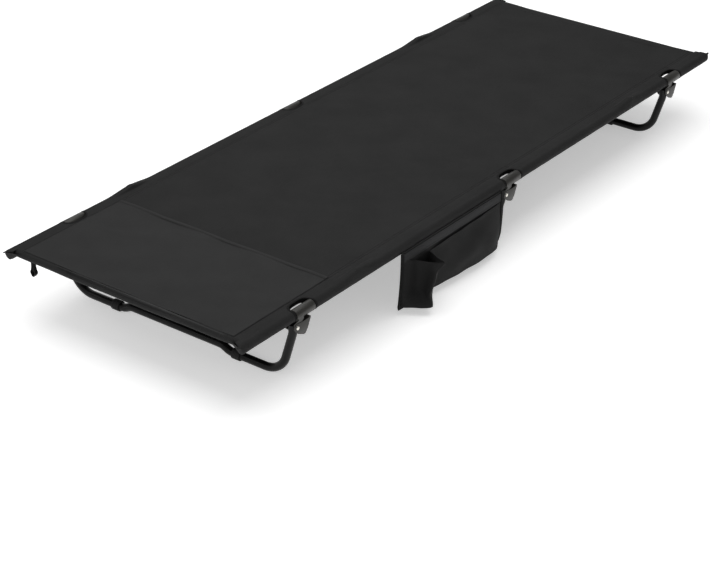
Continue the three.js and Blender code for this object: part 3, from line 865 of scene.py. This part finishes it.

# %% [markdown]
# ### Stitching
# Two rows of lockstitch hold each sleeve, and two hold each hem. Every stitch is a short
# thread lying in the groove it has pulled into the cloth. The rows of each half of the deck
# are one mesh.

# %% Rows of stitches
def stitch_row(points, ups, length=3.4 * MM, gap=1.1 * MM, thick=0.32 * MM):
    """Little rounded bars along a line of points, lying on the cloth."""
    points, ups = np.array(points, float), np.array(ups, float)
    along = np.concatenate([[0], np.cumsum(np.linalg.norm(np.diff(points, axis=0), axis=1))])
    verts, faces = [], []
    shape = [(-0.5, 0.35), (-0.32, 1.0), (0.32, 1.0), (0.5, 0.35)]
    for start in np.arange(gap, along[-1] - length, length + gap):
        mid = start + length / 2
        at = [np.array([np.interp(mid + f * length, along, points[:, k]) for k in range(3)])
              for f, _ in shape]
        up = np.array([np.interp(mid, along, ups[:, k]) for k in range(3)])
        go = at[-1] - at[0]
        go /= np.linalg.norm(go)
        sideways = np.cross(up, go)
        base = len(verts)
        for p, (f, fat) in zip(at, shape):
            for a, b in ((-1, -0.3), (-0.6, 0.9), (0.6, 0.9), (1, -0.3)):
                verts.append(p + sideways * a * thick * fat + up * b * thick * fat)
        faces += grid_faces(4, 4, offset=base, wrap=True)
        faces += [tuple(base + k for k in (0, 1, 2, 3)), tuple(base + k for k in (15, 14, 13, 12))]
    return verts, faces


def stitches(name, rows):
    verts, faces = [], []
    for points, ups in rows:
        v, f = stitch_row(points, ups)
        faces += [tuple(i + len(verts) for i in face) for face in f]
        verts += v
    obj = piece(name, verts, faces, THREAD)
    return obj


def sleeve_rows(x0, x1):
    rows = []
    xs = np.arange(x0, x1, 4 * MM)
    for side in (-1, 1):
        for back in (0.0, 6 * MM):
            s = np.full(len(xs), SEAM_Y - back)
            points, normals = cloth_frame(xs, s, side)
            rows.append((points + normals * 0.45 * MM, normals))
    return rows


def hem_rows(end):
    rows = []
    ys = np.arange(-HEM_Y + 0.004, HEM_Y - 0.004, 4 * MM)
    for back in (HEM_BACK - 4 * MM, HEM_BACK + 2 * MM):
        x = np.full(len(ys), end * (END_X - back))
        points = np.stack([x, MID_Y + ys, TOP_Z + waves(x, ys) + groove(x, ys) + 0.45 * MM], -1)
        rows.append((points, np.tile((0, 0, 1.0), (len(ys), 1))))
    return rows


head_rows = sleeve_rows(-END_X + 0.006, MEET_X) + hem_rows(-1)
foot_rows = sleeve_rows(MEET_X, END_X - 0.006) + hem_rows(1)
for tag, rows, body, x_from, x_to in (
        ("head", head_rows, "head_frame", -FOLD_X - BEND, -FOLD_X + BEND),
        ("foot", foot_rows, "foot_frame", FOLD_X + BEND, FOLD_X - BEND)):
    made = stitches("stitches_" + tag, rows)
    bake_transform(made)
    print(made.name, len(made.data.polygons), "faces")

# %% [markdown]
# ## The pillow pocket
# A smoother, thinner cloth is sewn over the head end on three sides, and the open side
# faces the middle of the bed. It lies a little loose, with faint diagonal pulls.

# %% Pillow pocket
def pillow_pocket():
    low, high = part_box("pillow_pocket")
    xs = np.linspace(low.x - 6 * MM, high.x, 90)
    ys = np.linspace(low.y, high.y, 150)
    x, y = np.meshgrid(xs, ys, indexing="ij")
    away = y - MID_Y
    z = TOP_Z + waves(x, away)
    to_edge = np.minimum(np.abs(away - (low.y - MID_Y)), np.abs(away - (high.y - MID_Y)))
    puff = smoothstep(0, 0.05, to_edge) * smoothstep(0, 0.05, x - xs[0])
    u = (x - low.x) + 0.55 * away
    v = (x - low.x) - 0.6 * away
    creases = (0.55 * np.sin(u * 46 + 1.5 * np.sin(away * 7)) * np.sin(away * 5 + 0.8)
               + 0.45 * np.sin(v * 61 + np.sin(x * 12)) * np.cos(away * 4))
    z = z + (1.15 + puff * (0.9 + creases)) * MM
    mouth = np.exp(-((x - high.x) / 0.004) ** 2)
    z = z + mouth * (0.35 + 0.2 * np.sin(away * 19)) * MM
    obj = grid_mesh("pillow_pocket_cloth", [(np.stack([x, y, z], -1), x, y)], PONGEE)
    thicken(obj, 0.5 * MM)
    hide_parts("pillow_pocket")
    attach(obj, "head_frame")
    # the mouth's hem: a doubled edge with one row of stitches
    line = np.stack([np.full(len(ys), high.x - 7 * MM), ys, z[-1] + 0.35 * MM], -1)
    flat = np.tile((0, 0, 1.0), (len(ys), 1))
    hem = strip("pillow_pocket_hem", np.stack([np.full(len(ys), high.x - 5 * MM), ys, z[-1]], -1),
                flat, 5.5 * MM, 0.6 * MM, PONGEE)
    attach(hem, "head_frame")
    row = stitches("pillow_pocket_stitches", [(line + (0, 0, 0.4 * MM), flat)])
    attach(row, "head_frame")


pillow_pocket()

# %% [markdown]
# ## The organizer
# A back panel hangs from the sleeve, with two pouches sewn to it. The cup pocket is empty,
# so it has sagged: its head side lies on the panel and the rest stands out in a fold.
# The wide pocket lies against the panel and bellies at the bottom. Each pouch is lofted
# through a few sections seen from above. Tape binds the panel's edge, and a doubled band
# of paler cloth runs across its top.

# %% Organizer
ORG_LOW, ORG_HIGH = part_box("organizer_panel")


def panel_y(z):
    """The panel hangs from the sleeve and leans a little under the bed."""
    down = np.clip((ORG_HIGH.z - z) / (ORG_HIGH.z - ORG_LOW.z), 0, 1)
    return (ORG_LOW.y + ORG_HIGH.y) / 2 + 8 * MM * down ** 2


def organizer_panel():
    xs = np.linspace(ORG_LOW.x, ORG_HIGH.x, 90)
    x, t = np.meshgrid(xs, np.linspace(0, 1, 34), indexing="ij")
    corner = 30 * MM
    right = np.clip((x - (ORG_HIGH.x - corner)) / corner, 0, 1)
    bottom = ORG_LOW.z + corner * (1 - np.sqrt(1 - right ** 2)) * 0.95
    top = ORG_HIGH.z - 0.2 * MM
    z = top - t * (top - bottom)
    y = panel_y(z) + 0.7 * MM * np.sin(x * 38) * t
    obj = grid_mesh("organizer_back", [(np.stack([x, y, z], -1), x, z)], POUCH)
    thicken(obj, 1.4 * MM)
    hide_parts("organizer_panel")
    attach(obj, "organizer")
    down, along, up = (np.stack([g[0], g[1], g[2]], -1) for g in (
        (x[0], y[0], z[0]), (x[1:, -1], y[1:, -1], z[1:, -1]),
        (x[-1, ::-1][1:], y[-1, ::-1][1:], z[-1, ::-1][1:])))
    path = np.concatenate([down - (2 * MM, 0, 0), along, up]) - (0, 2.4 * MM, 0)
    face = np.tile((0, -1.0, 0), (len(path), 1))
    edge = strip("organizer_edge_binding", path, face, 5.2 * MM, 1.9 * MM, BINDING)
    # a paler doubled band across the top
    z = ORG_HIGH.z - 15 * MM
    xs = np.linspace(ORG_LOW.x + 4 * MM, ORG_HIGH.x - 3 * MM, 60)
    ys = np.full(60, panel_y(z) - 1.9 * MM)
    line = np.stack([xs, ys, np.full(60, z)], -1)
    out = np.tile((0, -1.0, 0), (60, 1))
    band = strip("organizer_top_band", line, out, 10.5 * MM, 0.6 * MM, BAND)
    rows = [(line + (0, -0.8 * MM, dz * MM), out) for dz in (-6.5, 6.5)]
    seam = stitches("organizer_band_stitches", rows)
    for part in (edge, band, seam):
        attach(part, "organizer")


def smooth_line(points, n):
    """A smooth curve through a few points, with n evenly spaced points on it."""
    p = np.array([points[0], *points, points[-1]], float)
    dense = []
    for i in range(1, len(p) - 2):
        for t in np.linspace(0, 1, 24, endpoint=False):
            dense.append(0.5 * (2 * p[i] + (p[i + 1] - p[i - 1]) * t
                                + (2 * p[i - 1] - 5 * p[i] + 4 * p[i + 1] - p[i + 2]) * t ** 2
                                + (3 * p[i] - p[i - 1] - 3 * p[i + 1] + p[i + 2]) * t ** 3))
    dense = np.array(dense + [p[-1]])
    d = np.concatenate([[0], np.cumsum(np.linalg.norm(np.diff(dense[:, :2], axis=0), axis=1))])
    at = np.linspace(0, d[-1], n)
    return np.stack([np.interp(at, d, dense[:, k]) for k in range(dense.shape[1])], -1), d[-1]


def pouch(name, node_name, sections, floor_z, creases):
    """A pouch lofted through sections [(height share, [(x, out, rim z), ...])] in mm."""
    n, rows = 96, 36
    heights = [share for share, _ in sections]
    lines = [smooth_line(line, n)[0] for _, line in sections]
    across = smooth_line(sections[len(sections) // 2][1], n)[1] * MM
    points, u, v = np.zeros((rows, n, 3)), np.zeros((rows, n)), np.zeros((rows, n))
    for i, t in enumerate(np.linspace(0, 1, rows)):
        k = min(max(np.searchsorted(heights, t) - 1, 0), len(heights) - 2)
        f = (t - heights[k]) / (heights[k + 1] - heights[k])
        f = f * f * (3 - 2 * f)
        line = lines[k] * (1 - f) + lines[k + 1] * f
        rim = lines[-1][:, 2]
        z = (floor_z + (rim - floor_z) * t) * MM
        share = np.linspace(0, 1, n)
        soft = np.sin(share * math.pi) ** 0.7
        ripple = creases * soft * (np.sin(share * 23 + t * 5) * 0.5 + np.sin(share * 11 - t * 9)
                                   * 0.6 * math.sin(t * math.pi))
        points[i, :, 0] = line[:, 0] * MM
        points[i, :, 1] = panel_y(z) - (1.2 + line[:, 1] + ripple) * MM
        points[i, :, 2] = z
        u[i], v[i] = share * across, z
    floor = np.zeros((8, n, 3))
    for i, t in enumerate(np.linspace(0, 1, 8)):
        floor[i] = points[0]
        floor[i, :, 1] = points[0, :, 1] * (1 - t) + (panel_y(floor_z * MM) - 1.2 * MM) * t
        floor[i, :, 2] = points[0, :, 2] - 2.5 * MM * math.sin(t * math.pi)
    obj = grid_mesh(name, [(points, u, v), (floor, floor[:, :, 0], floor[:, :, 1])], POUCH)
    thicken(obj, 1.1 * MM)
    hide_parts(node_name)
    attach(obj, "organizer")
    rim = points[-1]
    outward = np.stack([np.gradient(rim[:, 1]), -np.gradient(rim[:, 0]), np.zeros(n)], -1)
    outward /= np.linalg.norm(outward, axis=1)[:, None]
    seam = stitches(name + "_stitches", [(rim[1:-1] - (0, 0, 7 * MM) + outward[1:-1] * 0.6 * MM,
                                          outward[1:-1])])
    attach(seam, "organizer")
    print(name, "across", round(across, 3), "m")


organizer_panel()
CUP = [(0.0, [(-416, 0, 0), (-411, 14, 0), (-402, 28, 0), (-392, 44, 0), (-374, 58, 0),
              (-350, 34, 0), (-324, 0, 0)]),
       (0.3, [(-416, 0, 0), (-396, 3, 0), (-372, 8, 0), (-366, 26, 0), (-378, 50, 0),
               (-350, 38, 0), (-322, 0, 0)]),
       (0.8, [(-416, 0, 0), (-396, 1, 0), (-370, 5, 0), (-360, 26, 0), (-368, 56, 0),
               (-340, 36, 0), (-318, 0, 0)]),
       (1.0, [(-416, 0, 139), (-396, 2, 131), (-370, 3, 120), (-357, 24, 117), (-347, 62, 123),
              (-334, 34, 121), (-317, 0, 120)])]
WIDE = [(0.0, [(-317, 0, 0), (-290, 9, 0), (-230, 15, 0), (-160, 20, 0), (-100, 21, 0),
               (-56, 15, 0), (-40, 0, 0)]),
        (0.3, [(-317, 0, 0), (-290, 10, 0), (-230, 17, 0), (-160, 22, 0), (-90, 21, 0),
               (-48, 10, 0), (-35, 0, 0)]),
        (1.0, [(-317, 0, 120), (-285, 3, 124), (-230, 4, 126), (-170, 4, 127), (-100, 3, 128),
               (-55, 2, 130), (-35, 0, 131)])]
pouch("organizer_cup", "organizer_cup_pocket", CUP, 20, 1.2)
pouch("organizer_wide", "organizer_wide_pocket", WIDE, 20, 1.9)

# %% [markdown]
# ## Webbing loop
# A loop of strap hangs under the head hem. It is one strap folded in half, with the ends
# sewn into the hem and a small gap left at the fold.

# %% Webbing loop
def webbing_loop(node_name):
    low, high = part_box(node_name)
    cx, cy = (low.x + high.x) / 2, (low.y + high.y) / 2
    top, tip = high.z, low.z + 3 * MM
    half = [(cy + 2.2 * MM, top), (cy + 2.6 * MM, top - 10 * MM), (cy + 4.2 * MM, tip + 15 * MM),
            (cy + 6.6 * MM, tip + 9 * MM), (cy + 3.2 * MM, tip + 2 * MM), (cy, tip)]
    line = half + [(2 * cy - y, z) for y, z in reversed(half[:-1])]
    path = smooth_line([(y, z) for y, z in line], 60)[0]
    path = np.stack([np.full(60, cx), path[:, 0], path[:, 1]], -1)
    made = strip(node_name + "_strap", path, np.tile((1.0, 0, 0), (60, 1)),
                 1.2 * MM, 4.4 * MM, WEBBING)
    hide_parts(node_name)
    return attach(made, "head_frame")


webbing_loop("webbing_loop")

# %% [markdown]
# ## Floor, light and camera
# A seamless pale floor and large soft lights, as in a product studio. The camera stands
# well back with a long lens, looking down at the near corner of the head end.

# %% Studio
def studio():
    material, tree, shader = new_material("studio_floor_paper")
    place = node(tree, "ShaderNodeTexCoord")
    grain = node(tree, "ShaderNodeTexNoise", Vector=(place, "Object"), Scale=6.0, Detail=3.0)
    mix = node(tree, "ShaderNodeMix", {"data_type": "RGBA"}, Factor=(grain, 0))
    mix.inputs[6].default_value = linear("#F3F3F3")
    mix.inputs[7].default_value = linear("#F7F7F7")
    link(tree, mix, 2, shader, "Base Color")
    shader.inputs["Roughness"].default_value = 0.9
    shader.inputs["Specular IOR Level"].default_value = 0.1
    shader.inputs["Emission Color"].default_value = (1, 1, 1, 1)
    shader.inputs["Emission Strength"].default_value = 0.42
    bpy.ops.mesh.primitive_plane_add(size=60, location=(0, 0, -0.0005))
    floor = bpy.context.object
    floor.name = "studio_floor"
    floor.data.materials.append(material)
    floor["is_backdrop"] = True
    world = bpy.data.worlds.new("studio")
    world.use_nodes = True
    background = world.node_tree.nodes["Background"]
    background.inputs["Color"].default_value = (1, 1, 1, 1)
    background.inputs["Strength"].default_value = 0.36
    bpy.context.scene.world = world
    bpy.context.scene.view_settings.view_transform = "Standard"
    lights = (("overhead", (0.0, 0.3, 3.4), 4.0, 78), ("left", (-3.2, 1.6, 2.2), 2.4, 14),
              ("behind", (2.6, 2.6, 2.4), 2.4, 14), ("front", (-3.4, -1.6, 1.3), 1.6, 18))
    for name, at, size, power in lights:
        light = bpy.data.lights.new(name, "AREA")
        light.size, light.energy = size, power
        obj = bpy.data.objects.new(name, light)
        bpy.context.scene.collection.objects.link(obj)
        obj.location = at
        obj.rotation_euler = (Vector((0, 0, 0.1)) - Vector(at)).to_track_quat("-Z", "Y").to_euler()


def camera():
    data = bpy.data.cameras.new("camera")
    data.sensor_width, data.lens = 36, 102.5
    data.clip_start, data.clip_end = 0.1, 100
    obj = bpy.data.objects.new("camera", data)
    bpy.context.scene.collection.objects.link(obj)
    heading, down = math.radians(37.463), math.radians(29.21)
    look = Vector((math.cos(heading) * math.cos(down), math.sin(heading) * math.cos(down),
                   -math.sin(down)))
    obj.location = (-3.568, -2.626 + MID_Y, 2.242)
    obj.rotation_euler = look.to_track_quat("-Z", "Y").to_euler()
    bpy.context.scene.camera = obj


studio()
camera()

# %% Sizes and finish
low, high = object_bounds()
print("visual box", [round(v, 4) for v in (*low, *high)])
